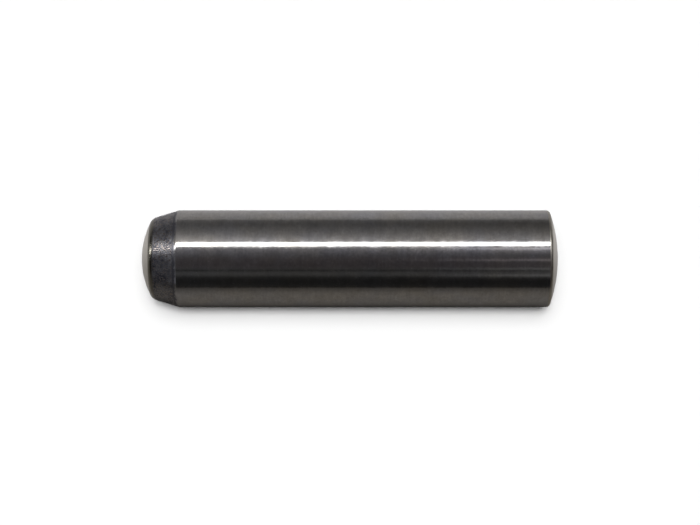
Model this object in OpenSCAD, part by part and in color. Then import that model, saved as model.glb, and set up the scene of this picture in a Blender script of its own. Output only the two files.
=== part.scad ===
// Hardened dowel pin, turned from steel bar and ground on its diameter.
// The pin lies along X with its chamfered lead-in end towards -X and its plain end towards +X.
// The origin is on the axis at mid-length, and +Z is up. Sizes are in millimetres.

/* [Ground shank] */
// Nominal diameter of the pin
nominal_d = 14; // [11:0.5:17]
// How far the ground diameter stands over nominal, so that the pin grips a reamed hole
fit_allowance = 0.012; // [0.002:0.001:0.03]
// Overall length from the crown of one end to the crown of the other
overall_length = 60; // [30:1:140]

/* [Lead-in end] */
// Length from the tip of the crown to the edge where the ground shank starts
lead_length = 5.4; // [4.4:0.1:8]
// Slope of the lead-in chamfer against the pin's axis, in degrees
lead_slope = 17; // [8:1:24]
// Radius of the crown
lead_crown_r = 11.6; // [9:0.1:30]
// Radius that rounds the corner between the chamfer and the crown
lead_corner_r = 1.4; // [0.2:0.1:2]

/* [Plain end] */
// Radius of the crown
plain_crown_r = 20; // [14:0.5:60]
// Radius that rounds the corner between the shank and the crown
plain_corner_r = 0.5; // [0.1:0.1:1.5]

/* [Hidden] */

$fn = 128;

// Each rounded corner stands this far over its neighbours, so that their outlines cross cleanly
corner_overlap = 0.0005;

shank_r = (nominal_d + fit_allowance) / 2;
tip_y = -overall_length / 2;

// Centre of the arc that rounds a corner inside a crown, measured from the crown's centre.
// The arc touches the straight side that runs through the point "side" at "slope" to the axis.
function corner_centre(side, slope, crown_r, corner_r) =
    let (
        along = [-sin(slope), -cos(slope)],
        start = side - corner_r * [cos(slope), -sin(slope)],
        gap = crown_r - corner_r,
        ahead = start * along
    )
    start + along * (sqrt(ahead * ahead - start * start + gap * gap) - ahead);

// Half the outline of one end, from mid-length down to its tip at -Y, with the axis on the Y axis.
// "taper" is how far above the tip the straight side starts to slope.
module end_profile(taper, slope, crown_r, corner_r) {
    crown_y = tip_y + crown_r;
    arc = corner_centre([shank_r, tip_y + taper - crown_y], slope, crown_r, corner_r);
    centre = arc + [0, crown_y];
    on_side = centre + corner_r * [cos(slope), -sin(slope)];
    on_crown = centre + corner_r * arc / norm(arc);
    crown_depth = on_crown.y - tip_y;
    intersection() {
        union() {
            polygon([
                [0, 0],
                [0, on_crown.y],
                on_crown,
                on_side,
                [shank_r, tip_y + taper],
                [shank_r, 0]
            ]);
            // The crown is cut from a disc, and reaches its own depth into the outline above it
            intersection() {
                translate([0, crown_y])
                    circle(r = crown_r);
                translate([0, tip_y])
                    square([on_crown.x, 2 * crown_depth]);
            }
            translate(centre)
                circle(r = corner_r + corner_overlap);
        }
        // The diameter is ground last, and nothing stands over it
        translate([0, tip_y])
            square([shank_r, overall_length]);
    }
}

// The whole pin, turned about its axis
module dowel_pin() {
    color("dimgray")
        rotate([0, 90, 0])
            rotate_extrude() {
                end_profile(lead_length, lead_slope, lead_crown_r, lead_corner_r);
                // The plain end's side has no slope, so its taper only has to reach past the corner
                mirror([0, 1])
                    end_profile(shank_r, 0, plain_crown_r, plain_corner_r);
            }
}

dowel_pin();
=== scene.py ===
import math
import bpy
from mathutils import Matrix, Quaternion, Vector


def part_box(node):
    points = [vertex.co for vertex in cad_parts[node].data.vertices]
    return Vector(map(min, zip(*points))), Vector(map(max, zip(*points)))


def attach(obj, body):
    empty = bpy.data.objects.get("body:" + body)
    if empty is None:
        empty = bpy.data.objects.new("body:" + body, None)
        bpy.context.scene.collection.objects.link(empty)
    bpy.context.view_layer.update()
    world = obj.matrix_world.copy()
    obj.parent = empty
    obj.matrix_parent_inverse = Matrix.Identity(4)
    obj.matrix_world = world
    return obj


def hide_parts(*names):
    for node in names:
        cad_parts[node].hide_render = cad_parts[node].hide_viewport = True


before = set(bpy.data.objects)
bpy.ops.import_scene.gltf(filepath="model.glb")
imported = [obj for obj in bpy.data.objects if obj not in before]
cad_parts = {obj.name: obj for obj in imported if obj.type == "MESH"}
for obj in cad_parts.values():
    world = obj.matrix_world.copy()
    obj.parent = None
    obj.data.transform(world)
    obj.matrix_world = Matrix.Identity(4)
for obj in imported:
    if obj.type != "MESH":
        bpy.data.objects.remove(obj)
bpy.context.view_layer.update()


# ---------------------------------------------------------------- dowel pin
# A straight locating pin, turned from alloy steel bar, hardened through, and centreless ground
# on its diameter. Grinding leaves the shank bright; the chamfered lead-in keeps the dark skin
# of its heat treatment, and tumbling has rubbed that off the two crowned ends.
MM = 0.001

pin_low, pin_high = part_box("dowel_pin")
pin_middle = (pin_low + pin_high) / 2
shank_r = (pin_high.z - pin_low.z) / 2

# Lead-in end: crown, rounded corner, then a shallow chamfer up to the ground diameter
lead_length = 5.4 * MM
lead_slope = math.radians(17)
lead_crown_r = 11.6 * MM
lead_corner_r = 1.4 * MM

# Plain end: a flatter crown with a small rounded corner
plain_crown_r = 20 * MM
plain_corner_r = 0.5 * MM

# How finely the turned shape is divided
corner_rings = 10
lead_crown_rings = 14
plain_crown_rings = 12
chamfer_rings = 6
shank_rings = 60
sides_round = 256


def corner_centre(side, slope, crown_r, corner_r):
    """Centre of the arc that joins a crown to a straight side, measured from the crown's centre,
    as (along the axis away from the tip, out from the axis)."""
    run = Vector((-math.cos(slope), -math.sin(slope)))
    start = Vector(side) - corner_r * Vector((-math.sin(slope), math.cos(slope)))
    ahead = start.dot(run)
    gap = crown_r - corner_r
    return start + run * (math.sqrt(ahead * ahead - start.length_squared + gap * gap) - ahead)


lead_crown_x = pin_low.x + lead_crown_r
chamfer_top_x = pin_low.x + lead_length
lead_arc = corner_centre(
    (chamfer_top_x - lead_crown_x, shank_r), lead_slope, lead_crown_r, lead_corner_r
)
lead_crown_turn = math.atan2(lead_arc.y, -lead_arc.x)
lead_corner_x = lead_crown_x + lead_arc.x

plain_crown_x = pin_high.x - plain_crown_r
plain_arc = corner_centre((0, shank_r), 0, plain_crown_r, plain_corner_r)
plain_crown_turn = math.atan2(plain_arc.y, -plain_arc.x)
shank_end_x = plain_crown_x - plain_arc.x

# The outline is drawn in the XZ plane as on a turner's drawing, from the lead-in tip to the other
bpy.ops.object.select_all(action="DESELECT")
bpy.ops.mesh.primitive_plane_add(size=MM, location=(pin_low.x, 0, 0))
pin = bpy.context.object
pin.name = "ground_dowel_pin"
bpy.ops.object.mode_set(mode="EDIT")
bpy.ops.mesh.merge(type="CENTER")
bpy.ops.mesh.spin(
    steps=lead_crown_rings,
    angle=lead_crown_turn,
    center=(lead_crown_x, 0, 0),
    axis=(0, -1, 0),
)
bpy.ops.mesh.spin(
    steps=corner_rings,
    angle=math.pi / 2 - lead_slope - lead_crown_turn,
    center=(lead_corner_x, 0, lead_arc.y),
    axis=(0, -1, 0),
)
chamfer_start = Vector((lead_corner_x, lead_arc.y)) + lead_corner_r * Vector(
    (-math.sin(lead_slope), math.cos(lead_slope))
)
for ring in range(chamfer_rings):
    bpy.ops.mesh.extrude_region_move(
        TRANSFORM_OT_translate={
            "value": (
                (chamfer_top_x - chamfer_start.x) / chamfer_rings,
                0,
                (shank_r - chamfer_start.y) / chamfer_rings,
            )
        }
    )
for ring in range(shank_rings):
    bpy.ops.mesh.extrude_region_move(
        TRANSFORM_OT_translate={"value": ((shank_end_x - chamfer_top_x) / shank_rings, 0, 0)}
    )
bpy.ops.mesh.spin(
    steps=corner_rings,
    angle=math.pi / 2 - plain_crown_turn,
    center=(shank_end_x, 0, plain_arc.y),
    axis=(0, -1, 0),
)
bpy.ops.mesh.spin(
    steps=plain_crown_rings,
    angle=plain_crown_turn,
    center=(plain_crown_x, 0, 0),
    axis=(0, -1, 0),
)

# The lathe: the outline goes once round the axis, then its seam and its two tips are closed
bpy.ops.mesh.select_all(action="SELECT")
bpy.ops.mesh.spin(steps=sides_round, angle=2 * math.pi, center=(0, 0, 0), axis=(1, 0, 0))
bpy.ops.mesh.select_all(action="SELECT")
bpy.ops.mesh.remove_doubles(threshold=0.002 * MM)
bpy.ops.mesh.normals_make_consistent(inside=False)
bpy.ops.object.mode_set(mode="OBJECT")
bpy.ops.object.transform_apply(location=True, rotation=True, scale=True)
bpy.ops.object.shade_smooth_by_angle(angle=math.radians(12))


def linear(hex_colour):
    """An sRGB hex colour as linear RGBA."""
    parts = [int(hex_colour[i : i + 2], 16) / 255 for i in (1, 3, 5)]
    return [c / 12.92 if c <= 0.04045 else ((c + 0.055) / 1.055) ** 2.4 for c in parts] + [1.0]


def add_node(tree, kind, settings, inputs):
    """Adds a node with its settings, and sets each input or links it from another node's output.
    A colour ramp's setting is its list of stops, each a place from 0 to 1 and a colour."""
    node = tree.nodes.new(kind)
    for name, value in settings.items():
        if name == "color_ramp":
            stops = node.color_ramp.elements
            stops.remove(stops[1])
            stops[0].position, stops[0].color = value[0]
            for position, colour in value[1:]:
                stops.new(position).color = colour
        else:
            setattr(node, name, value)
    for name, value in inputs.items():
        if isinstance(value, bpy.types.NodeSocket):
            tree.links.new(value, node.inputs[name])
        else:
            node.inputs[name].default_value = value
    return node


def new_steel(name):
    """A bare metal: the material, its node tree, its shader and the piece's own coordinates."""
    steel = bpy.data.materials.new(name)
    steel.use_nodes = True
    shader = steel.node_tree.nodes["Principled BSDF"]
    shader.inputs["Metallic"].default_value = 1.0
    coordinates = add_node(steel.node_tree, "ShaderNodeTexCoord", {}, {})
    return steel, steel.node_tree, shader, coordinates.outputs["Object"]


# Hardened alloy steel, centreless ground: a dark mirror along the pin, broken by the soft
# ripple and the faint bands and streaks round it that the wheel leaves as the pin feeds through.
ground, tree, shader, place = new_steel("centreless_ground_hardened_steel")

# Wheel streaks: one every 0.3 mm along the pin and 2 mm round it, coarser than real so they show
streak_place = add_node(
    tree,
    "ShaderNodeMapping",
    {},
    {"Vector": place, "Scale": (1 / (0.3 * MM), 1 / (2 * MM), 1 / (2 * MM))},
)
streaks = add_node(
    tree,
    "ShaderNodeTexNoise",
    {},
    {"Vector": streak_place.outputs["Vector"], "Scale": 1.0, "Detail": 4.0, "Roughness": 0.65},
)
# Feed ripple: soft waves 4 mm long and 6 mm round, where the wheel bit a little more
ripple_place = add_node(
    tree,
    "ShaderNodeMapping",
    {},
    {"Vector": place, "Scale": (1 / (4 * MM), 1 / (6 * MM), 1 / (6 * MM))},
)
ripple = add_node(
    tree,
    "ShaderNodeTexNoise",
    {},
    {"Vector": ripple_place.outputs["Vector"], "Scale": 1.0, "Detail": 2.0, "Roughness": 0.5},
)
# Grinding burn: patches 4 to 5 mm across, some straw and some blue, too faint to see singly
burn_place = add_node(
    tree,
    "ShaderNodeMapping",
    {},
    {"Vector": place, "Location": (3.1, 0.7, 1.9), "Scale": (1 / (5 * MM), 1 / (4 * MM), 1 / (4 * MM))},
)
burn = add_node(
    tree,
    "ShaderNodeTexNoise",
    {},
    {"Vector": burn_place.outputs["Vector"], "Scale": 1.0, "Detail": 3.0, "Roughness": 0.55},
)
burn_tone = add_node(
    tree,
    "ShaderNodeValToRGB",
    {"color_ramp": [(0.32, linear("#adaaa5")), (0.68, linear("#a9a9ab"))]},
    {"Fac": burn.outputs["Fac"]},
)
streak_tone = add_node(
    tree,
    "ShaderNodeMapRange",
    {},
    {
        "Value": streaks.outputs["Fac"],
        "From Min": 0.25,
        "From Max": 0.75,
        "To Min": 0.93,
        "To Max": 1.07,
    },
)
# Mottling 1.6 mm across, broken down to the wheel's own grain of 0.1 mm
grain = add_node(
    tree,
    "ShaderNodeTexNoise",
    {},
    {"Vector": place, "Scale": 1 / (1.6 * MM), "Detail": 5.0, "Roughness": 0.85},
)
grain_tone = add_node(
    tree,
    "ShaderNodeMapRange",
    {},
    {"Value": grain.outputs["Fac"], "From Min": 0.3, "From Max": 0.7, "To Min": 0.84, "To Max": 1.16},
)
tone_level = add_node(
    tree,
    "ShaderNodeMath",
    {"operation": "MULTIPLY"},
    {0: streak_tone.outputs["Result"], 1: grain_tone.outputs["Result"]},
)
shank_tone = add_node(
    tree,
    "ShaderNodeVectorMath",
    {"operation": "SCALE"},
    {"Vector": burn_tone.outputs["Color"], "Scale": tone_level.outputs["Value"]},
)
# The wheel also bares the last of the chamfer, up to a ragged edge in its oxide skin
ragged_depth = 0.9 * MM
skin_whole_x = chamfer_top_x - 0.35 * MM
skin_gone_x = chamfer_top_x - 0.02 * MM
pin_axes = add_node(tree, "ShaderNodeSeparateXYZ", {}, {"Vector": place})
ragged = add_node(
    tree,
    "ShaderNodeTexNoise",
    {},
    {"Vector": place, "Scale": 1 / (0.7 * MM), "Detail": 4.0, "Roughness": 0.7},
)
ragged_x = add_node(
    tree,
    "ShaderNodeMath",
    {"operation": "MULTIPLY_ADD"},
    {0: ragged.outputs["Fac"], 1: -ragged_depth, 2: pin_axes.outputs["X"]},
)
bared = add_node(
    tree,
    "ShaderNodeMapRange",
    {"interpolation_type": "SMOOTHSTEP"},
    {
        "Value": ragged_x.outputs["Value"],
        "From Min": skin_whole_x - ragged_depth / 2,
        "From Max": skin_gone_x - ragged_depth / 2,
    },
)
shank_colour = add_node(
    tree,
    "ShaderNodeMix",
    {"data_type": "RGBA"},
    {"Factor": bared.outputs["Result"], "A": linear("#68686e"), "B": shank_tone.outputs["Vector"]},
)
tree.links.new(shank_colour.outputs["Result"], shader.inputs["Base Color"])
shank_gloss = add_node(
    tree,
    "ShaderNodeMapRange",
    {},
    {"Value": grain.outputs["Fac"], "From Min": 0.3, "From Max": 0.7, "To Min": 0.06, "To Max": 0.17},
)
gloss = add_node(
    tree,
    "ShaderNodeMix",
    {"data_type": "FLOAT"},
    {"Factor": bared.outputs["Result"], "A": 0.34, "B": shank_gloss.outputs["Result"]},
)
tree.links.new(gloss.outputs["Result"], shader.inputs["Roughness"])
ripple_bump = add_node(
    tree,
    "ShaderNodeBump",
    {},
    {"Height": ripple.outputs["Fac"], "Distance": 0.028 * MM, "Strength": 1.0},
)
streak_bump = add_node(
    tree,
    "ShaderNodeBump",
    {},
    {
        "Height": streaks.outputs["Fac"],
        "Distance": 0.003 * MM,
        "Strength": 1.0,
        "Normal": ripple_bump.outputs["Normal"],
    },
)
grain_bump = add_node(
    tree,
    "ShaderNodeBump",
    {},
    {
        "Height": grain.outputs["Fac"],
        "Distance": 0.007 * MM,
        "Strength": 1.0,
        "Normal": streak_bump.outputs["Normal"],
    },
)
tree.links.new(grain_bump.outputs["Normal"], shader.inputs["Normal"])

# Heat-treatment skin on the turned chamfer: a thin blue-black oxide, matt and speckled,
# with the lathe's feed lines under it and bright metal where it has rubbed off.
skin, tree, shader, place = new_steel("oxide_skin_on_turned_steel")
# Clouds of thicker and thinner oxide, 1.1 mm across, with a fine grain in them
clouds = add_node(
    tree,
    "ShaderNodeTexNoise",
    {},
    {"Vector": place, "Scale": 1 / (1.1 * MM), "Detail": 6.0, "Roughness": 0.7},
)
cloud_tone = add_node(
    tree,
    "ShaderNodeValToRGB",
    {"color_ramp": [(0.34, linear("#494a53")), (0.70, linear("#99999c"))]},
    {"Fac": clouds.outputs["Fac"]},
)
# Flecks of 0.25 mm rubbed through to warm bare steel
flecks = add_node(
    tree,
    "ShaderNodeTexNoise",
    {},
    {"Vector": place, "Scale": 1 / (0.25 * MM), "Detail": 3.0, "Roughness": 0.55},
)
fleck_mask = add_node(
    tree,
    "ShaderNodeMapRange",
    {"interpolation_type": "SMOOTHSTEP"},
    {"Value": flecks.outputs["Fac"], "From Min": 0.51, "From Max": 0.62},
)
skin_colour = add_node(
    tree,
    "ShaderNodeMix",
    {"data_type": "RGBA"},
    {"Factor": fleck_mask.outputs["Result"], "A": cloud_tone.outputs["Color"], "B": linear("#8b837e")},
)
# Tumbling has half rubbed it off the rounded corner, down to an olive brown
pin_axes = add_node(tree, "ShaderNodeSeparateXYZ", {}, {"Vector": place})
past_corner = add_node(
    tree,
    "ShaderNodeMapRange",
    {"interpolation_type": "SMOOTHSTEP"},
    {
        "Value": pin_axes.outputs["X"],
        "From Min": chamfer_start.x - 0.30 * MM,
        "From Max": chamfer_start.x,
    },
)
end_colour = add_node(
    tree,
    "ShaderNodeMix",
    {"data_type": "RGBA"},
    {
        "Factor": past_corner.outputs["Result"],
        "A": linear("#706d64"),
        "B": skin_colour.outputs["Result"],
    },
)
tree.links.new(end_colour.outputs["Result"], shader.inputs["Base Color"])
skin_gloss = add_node(
    tree,
    "ShaderNodeMapRange",
    {},
    {"Value": fleck_mask.outputs["Result"], "To Min": 0.36, "To Max": 0.11},
)
end_gloss = add_node(
    tree,
    "ShaderNodeMix",
    {"data_type": "FLOAT"},
    {"Factor": past_corner.outputs["Result"], "A": 0.2, "B": skin_gloss.outputs["Result"]},
)
tree.links.new(end_gloss.outputs["Result"], shader.inputs["Roughness"])
# Feed lines of the turning tool, 0.25 mm apart: a wave texture of scale 1 repeats in 2 pi / 20
feed_lines = add_node(
    tree,
    "ShaderNodeTexWave",
    {"wave_type": "BANDS", "bands_direction": "X"},
    {"Vector": place, "Scale": 2 * math.pi / 20 / (0.25 * MM), "Distortion": 1.2, "Detail": 1.0},
)
feed_bump = add_node(
    tree,
    "ShaderNodeBump",
    {},
    {"Height": feed_lines.outputs["Fac"], "Distance": 0.006 * MM, "Strength": 1.0},
)
grain_bump = add_node(
    tree,
    "ShaderNodeBump",
    {},
    {
        "Height": flecks.outputs["Fac"],
        "Distance": 0.028 * MM,
        "Strength": 1.0,
        "Normal": feed_bump.outputs["Normal"],
    },
)
tree.links.new(grain_bump.outputs["Normal"], shader.inputs["Normal"])

# Barrel-tumbled ends: a warm, even satin grey, softly mottled, with knocks 0.4 mm across
# where the pins struck each other in the barrel.
tumbled, tree, shader, place = new_steel("barrel_tumbled_hardened_steel")
satin = add_node(
    tree,
    "ShaderNodeTexNoise",
    {},
    {"Vector": place, "Scale": 1 / (0.7 * MM), "Detail": 5.0, "Roughness": 0.65},
)
satin_tone = add_node(
    tree,
    "ShaderNodeValToRGB",
    {"color_ramp": [(0.32, linear("#a8a49a")), (0.68, linear("#bfbcb1"))]},
    {"Fac": satin.outputs["Fac"]},
)
tree.links.new(satin_tone.outputs["Color"], shader.inputs["Base Color"])
satin_gloss = add_node(
    tree,
    "ShaderNodeMapRange",
    {},
    {"Value": satin.outputs["Fac"], "From Min": 0.3, "From Max": 0.7, "To Min": 0.29, "To Max": 0.37},
)
tree.links.new(satin_gloss.outputs["Result"], shader.inputs["Roughness"])
knocks = add_node(
    tree,
    "ShaderNodeTexNoise",
    {},
    {"Vector": place, "Scale": 1 / (0.4 * MM), "Detail": 3.0, "Roughness": 0.6},
)
knock_bump = add_node(
    tree,
    "ShaderNodeBump",
    {},
    {"Height": knocks.outputs["Fac"], "Distance": 0.03 * MM, "Strength": 1.0},
)
tree.links.new(knock_bump.outputs["Normal"], shader.inputs["Normal"])

# Tumbling has rubbed the skin off the crown, up to where its rounded corner begins
skin_start_x = lead_crown_x - lead_crown_r * math.cos(lead_crown_turn)
# The last of the chamfer's rings has the ground steel, which draws the skin's ragged edge on it
worn_edge_x = chamfer_top_x - (chamfer_top_x - chamfer_start.x) / chamfer_rings
finishes = (ground, skin, tumbled)
for finish in finishes:
    pin.data.materials.append(finish)
for face in pin.data.polygons:
    if face.center.x > shank_end_x or face.center.x < skin_start_x:
        finish = tumbled
    elif face.center.x < worn_edge_x:
        finish = skin
    else:
        finish = ground
    face.material_index = finishes.index(finish)

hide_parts("dowel_pin")
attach(pin, "root")


# ---------------------------------------------------------------- table
# A plain white table under the pin. It is what the eye sees; the pin's polished side mirrors a second,
# greyer sheet that lies in the same place. That sheet is not a lit surface but a glow: a painted
# reflection of the table, with painted light and shade.
table_z = pin_low.z
table_r = 1.4
sheet_r = 0.79
sides_of_round = 96

bpy.ops.object.select_all(action="DESELECT")
bpy.ops.mesh.primitive_circle_add(
    vertices=sides_of_round, radius=table_r, fill_type="NGON", location=(0, 0, table_z)
)
table = bpy.context.object
table.name = "white_table"
table.visible_glossy = False

# Matt white laminate: an even white with no shine, on which only the pin's shadow shows
white = bpy.data.materials.new("matt_white_laminate")
white.use_nodes = True
shader = white.node_tree.nodes["Principled BSDF"]
shader.inputs["Base Color"].default_value = linear("#e7e7e7")
shader.inputs["Roughness"].default_value = 1.0
shader.inputs["Specular IOR Level"].default_value = 0.0
table.data.materials.append(white)


def glow(level, tint):
    """The colour of something that glows: its tint, as sRGB hex, times its level."""
    return [level * part for part in linear(tint)[:3]] + [1.0]


def new_glow(name):
    """A material that glows in what mirrors it: the material, its node tree and the node that
    gives the piece's own X, Y and Z."""
    glowing = bpy.data.materials.new(name)
    glowing.use_nodes = True
    glowing.cycles.emission_sampling = "NONE"
    tree = glowing.node_tree
    tree.nodes.clear()
    coordinates = add_node(tree, "ShaderNodeTexCoord", {}, {})
    axes = add_node(tree, "ShaderNodeSeparateXYZ", {}, {"Vector": coordinates.outputs["Object"]})
    return glowing, tree, axes


# A sheet seen only in the pin's mirror, glowing with a painted reflection of the lit table
bpy.ops.object.select_all(action="DESELECT")
bpy.ops.mesh.primitive_circle_add(
    vertices=sides_of_round, radius=sheet_r, fill_type="NGON", location=(0, 0, table_z)
)
glowing_reflection_sheet = bpy.context.object
glowing_reflection_sheet.name = "painted_table_reflection"
glowing_reflection_sheet.visible_camera = False
glowing_reflection_sheet.visible_diffuse = False
glowing_reflection_sheet.visible_shadow = False

# Painted reflection of the table, a grey glow with painted shade: dim in front, where the viewer would
# keep the light off it, nearly black from 140 mm out, and evenly bright behind. Its brightness is
# listed by the distance behind the pin, in mm.
card, tree, axes = new_glow("painted_table_reflection_glow")
sheet_span = 160
sheet_levels = [
    (-156, 0.026), (-148, 0.026), (-136, 0.085), (-92, 0.095), (-51, 0.122), (-33, 0.172),
    (-25, 0.192), (-20, 0.198), (-13.7, 0.182), (-11, 0.166), (-8, 0.16), (0, 0.24), (8, 0.44),
    (22, 0.46), (38, 0.43), (75, 0.41), (158, 0.38),
]
front_to_back = add_node(
    tree,
    "ShaderNodeMapRange",
    {},
    {"Value": axes.outputs["Y"], "From Min": -sheet_span * MM, "From Max": sheet_span * MM},
)
sheet_tone = add_node(
    tree,
    "ShaderNodeValToRGB",
    {
        "color_ramp": [
            (0.5 + y / sheet_span / 2, glow(level, "#fff7ee" if y < 0 else "#fffcfd"))
            for y, level in sheet_levels
        ]
    },
    {"Fac": front_to_back.outputs["Result"]},
)
# Painted shadow: the glow is darkened close under the pin, where the pin would keep the light off the
# sheet
under = add_node(tree, "ShaderNodeMath", {"operation": "ABSOLUTE"}, {0: axes.outputs["Y"]})
painted_shadow_fade = add_node(
    tree,
    "ShaderNodeMapRange",
    {"interpolation_type": "SMOOTHSTEP"},
    {"Value": under.outputs["Value"], "From Min": 4 * MM, "From Max": 12.5 * MM},
)
along = add_node(tree, "ShaderNodeMath", {"operation": "ABSOLUTE"}, {0: axes.outputs["X"]})
past_end = add_node(
    tree,
    "ShaderNodeMapRange",
    {"interpolation_type": "SMOOTHSTEP"},
    {"Value": along.outputs["Value"], "From Min": pin_high.x - 3 * MM, "From Max": pin_high.x + 3 * MM},
)
clear_of_painted_shadow = add_node(
    tree,
    "ShaderNodeMath",
    {"operation": "MAXIMUM"},
    {0: painted_shadow_fade.outputs["Result"], 1: past_end.outputs["Result"]},
)
# Painted light: close past the pin's two ends the glow is raised, where the lamps would fall full on it
painted_light_past_ends = add_node(
    tree,
    "ShaderNodeMapRange",
    {"interpolation_type": "SMOOTHSTEP"},
    {
        "Value": under.outputs["Value"],
        "From Min": 7 * MM,
        "From Max": 13 * MM,
        "To Min": 0.8,
        "To Max": 0.0,
    },
)
lit = add_node(
    tree,
    "ShaderNodeMath",
    {"operation": "MULTIPLY_ADD"},
    {0: past_end.outputs["Result"], 1: painted_light_past_ends.outputs["Result"], 2: clear_of_painted_shadow.outputs["Value"]},
)
sheet_glow = add_node(
    tree,
    "ShaderNodeEmission",
    {},
    {"Color": sheet_tone.outputs["Color"], "Strength": lit.outputs["Value"]},
)
add_node(tree, "ShaderNodeOutputMaterial", {}, {"Surface": sheet_glow.outputs["Emission"]})
glowing_reflection_sheet.data.materials.append(card)


# ---------------------------------------------------------------- light tent
# A tent of diffusing cloth round the table. Its brightness changes with height: brightest
# round the lamp overhead, dim at the front where the viewer stands, with seams that catch light.
tent_r = 0.8

bpy.ops.object.select_all(action="DESELECT")
bpy.ops.mesh.primitive_uv_sphere_add(
    segments=sides_of_round, ring_count=sides_of_round // 2, radius=tent_r, location=(0, 0, 0)
)
tent = bpy.context.object
tent.name = "light_tent"
tent.visible_camera = False
tent.visible_diffuse = False
tent.visible_shadow = False

# Tent cloth: a glow that depends on how far up and over it hangs, from 0 at the front horizon
# to 180 degrees at the back one
cloth, tree, axes = new_glow("tent_cloth")
front = add_node(tree, "ShaderNodeMath", {"operation": "MULTIPLY"}, {0: axes.outputs["Y"], 1: -1.0})
turn = add_node(
    tree,
    "ShaderNodeMath",
    {"operation": "ARCTAN2"},
    {0: axes.outputs["Z"], 1: front.outputs["Value"]},
)
up_and_over = add_node(
    tree, "ShaderNodeMath", {"operation": "DIVIDE"}, {0: turn.outputs["Value"], 1: math.pi}
)


def cloth_tint(degrees):
    """The cloth is a little mauve half-way up the front and overhead, and next to white elsewhere."""
    if degrees < 46:
        return "#fffefe"
    if degrees < 72:
        return "#fff5fa"
    if degrees < 96:
        return "#f9f6ff"
    return "#fffcfc"


# How bright the cloth is, by its degrees up and over: in the middle, and towards the plain end,
# where a few of the room's lights come through it
middle_levels = [
    (0, 0.024), (8, 0.018), (16, 0.017), (21, 0.021), (25, 0.030), (28, 0.054), (32, 0.070),
    (37, 0.066), (40.5, 0.024), (43.5, 0.058), (49, 0.064), (53, 0.056), (64.5, 0.066),
    (69, 0.078), (74, 0.094), (79, 0.120), (83, 0.150), (88, 0.190), (93, 0.27), (97, 0.60),
    (106, 0.60), (111, 0.50), (118, 0.40), (123, 0.320), (129, 0.250), (134, 0.205),
    (140, 0.165), (152, 0.113), (158, 0.102), (167, 0.125), (173, 0.17), (177.5, 0.36),
]
side_levels = [
    (0, 0.024), (8, 0.018), (16, 0.019), (21, 0.028), (25, 0.070), (29, 0.190), (33, 0.085),
    (37, 0.080), (40.5, 0.036), (44.5, 0.175), (48, 0.080), (55, 0.075), (60, 0.080),
    (62.5, 0.100), (65, 0.33), (68, 0.12), (74, 0.105), (79, 0.140), (84, 0.23), (88, 0.35),
    (90.5, 0.85), (93, 1.2), (95, 0.4), (110, 0.44), (118, 0.37), (126, 0.26), (134, 0.195),
    (142, 0.145), (150, 0.112), (162, 0.09), (173, 0.14), (177.5, 0.34),
]
middle, side = (
    add_node(
        tree,
        "ShaderNodeValToRGB",
        {
            "color_ramp": [
                (degrees / 180, glow(level, cloth_tint(degrees))) for degrees, level in levels
            ]
        },
        {"Fac": up_and_over.outputs["Value"]},
    )
    for levels in (middle_levels, side_levels)
)
to_side = add_node(
    tree,
    "ShaderNodeMapRange",
    {"interpolation_type": "SMOOTHSTEP"},
    {"Value": axes.outputs["X"], "From Min": 42 * MM, "From Max": 102 * MM},
)
cloth_colour = add_node(
    tree,
    "ShaderNodeMix",
    {"data_type": "RGBA"},
    {"Factor": to_side.outputs["Result"], "A": middle.outputs["Color"], "B": side.outputs["Color"]},
)
# Towards the lead-in side the cloth is lit a little more, its middle glows over the lead-in half
# of the pin, and its two open ends are dark
left_side = add_node(
    tree,
    "ShaderNodeMapRange",
    {"interpolation_type": "SMOOTHSTEP"},
    {"Value": axes.outputs["X"], "From Min": -0.25, "From Max": -0.40},
)
lifted = add_node(
    tree,
    "ShaderNodeMix",
    {"data_type": "RGBA", "blend_type": "LIGHTEN"},
    {
        "Factor": left_side.outputs["Result"],
        "A": cloth_colour.outputs["Result"],
        "B": linear("#6b6b70"),
    },
)
along_tent = add_node(
    tree,
    "ShaderNodeMapRange",
    {},
    {"Value": axes.outputs["X"], "From Min": -tent_r, "From Max": tent_r},
)
even_level = 0.81
level_along = add_node(
    tree,
    "ShaderNodeValToRGB",
    {
        "color_ramp": [
            (0.5 + x / tent_r / 2, glow(level, "#ffffff"))
            for x, level in (
                (-0.68, 0.12), (-0.60, even_level), (-0.30, even_level), (-0.11, 1.0),
                (-0.02, even_level), (0.60, even_level), (0.68, 0.12),
            )
        ]
    },
    {"Fac": along_tent.outputs["Result"]},
)
glow_strength = add_node(
    tree, "ShaderNodeMath", {"operation": "DIVIDE"}, {0: level_along.outputs["Color"], 1: even_level}
)
cloth_glow = add_node(
    tree,
    "ShaderNodeEmission",
    {},
    {"Color": lifted.outputs["Result"], "Strength": glow_strength.outputs["Value"]},
)
add_node(tree, "ShaderNodeOutputMaterial", {}, {"Surface": cloth_glow.outputs["Emission"]})
tent.data.materials.append(cloth)


# ---------------------------------------------------------------- lights
# One long soft box overhead draws the streak along the pin, and a small lamp low down past the
# lead-in end puts one spark on the corner there. Three more, which only the table sees, lay
# the short shadow in front of the pin.
def over_front(degrees):
    """The way to a lamp at this height over the front horizon, square to the pin."""
    return Vector((0, -math.cos(math.radians(degrees)), math.sin(math.radians(degrees))))


def aim_lamp(lamp, away, reach, roll):
    """Puts a lamp this way from the pin, at this reach, aimed at the pin and turned about its
    aim by this many degrees."""
    lamp.location = away * reach
    lamp.rotation_mode = "QUATERNION"
    square_on = away.to_track_quat("Z", "Y")
    lamp.rotation_quaternion = square_on @ Quaternion((0, 0, 1), math.radians(roll))


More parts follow.
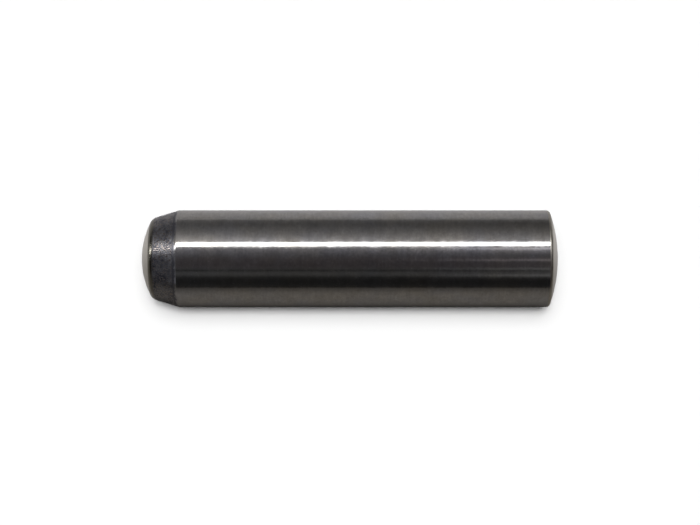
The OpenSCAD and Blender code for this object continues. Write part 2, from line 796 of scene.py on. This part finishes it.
lamp_reach = 0.5
past_lead_in = Vector((-0.966, 0.159, 0.202))
for name, away, shift, roll, length, width, radiance in (
    ("overhead_soft_box", over_front(101.5), -0.14, 4.0, 0.82, 0.072, 6.0),
    ("side_lamp", past_lead_in, 0, 0, 0.05, 0.05, 32.0),
):
    bpy.ops.object.light_add(type="AREA")
    lamp = bpy.context.object
    lamp.name = name
    lamp.data.shape = "RECTANGLE"
    lamp.data.size = length
    lamp.data.size_y = width
    lamp.data.energy = radiance * math.pi * length * width
    lamp.visible_camera = False
    lamp.visible_diffuse = False
    aim_lamp(lamp, away, lamp_reach, roll)
    lamp.location.x += shift

for name, elevation, spread, strength in (
    ("table_lamp", 76.0, 17.2, 2.06),
    ("table_fill", 84.0, 38.8, 1.84),
    ("room_light", 90.0, 170.0, 0.20),
):
    bpy.ops.object.light_add(type="SUN")
    lamp = bpy.context.object
    lamp.name = name
    lamp.data.angle = math.radians(spread)
    lamp.data.energy = strength
    lamp.visible_glossy = False
    aim_lamp(lamp, over_front(elevation), lamp_reach, 0)

# The room past the table's edge is white too. It lights nothing, and the pin doesn't mirror it
studio = bpy.data.worlds.new("pale_studio")
studio.use_nodes = True
backdrop = studio.node_tree.nodes["Background"]
backdrop.inputs["Color"].default_value = linear("#ffffff")
backdrop.inputs["Strength"].default_value = 1.0
studio.cycles_visibility.diffuse = False
studio.cycles_visibility.glossy = False
bpy.context.scene.world = studio
bpy.context.scene.view_settings.view_transform = "Standard"


# ---------------------------------------------------------------- camera
# A long lens looking steeply down on the pin from its front side, square to its axis. The pin
# lies a hair above and left of the middle of the frame.
look_down = 68.5
reach = 0.282
away = over_front(look_down)
screen_up = Vector((0, away.z, -away.y))
bpy.ops.object.camera_add()
camera = bpy.context.object
camera.data.sensor_width = 36
camera.data.lens = 100.25
camera.data.clip_start = 0.01
camera.data.clip_end = 10
aim = pin_middle + Vector((0.05 * MM, 0, 0)) - screen_up * 0.55 * MM
camera.location = aim + away * reach
camera.rotation_mode = "QUATERNION"
camera.rotation_quaternion = (aim - camera.location).to_track_quat("-Z", "Y")
bpy.context.scene.camera = camera
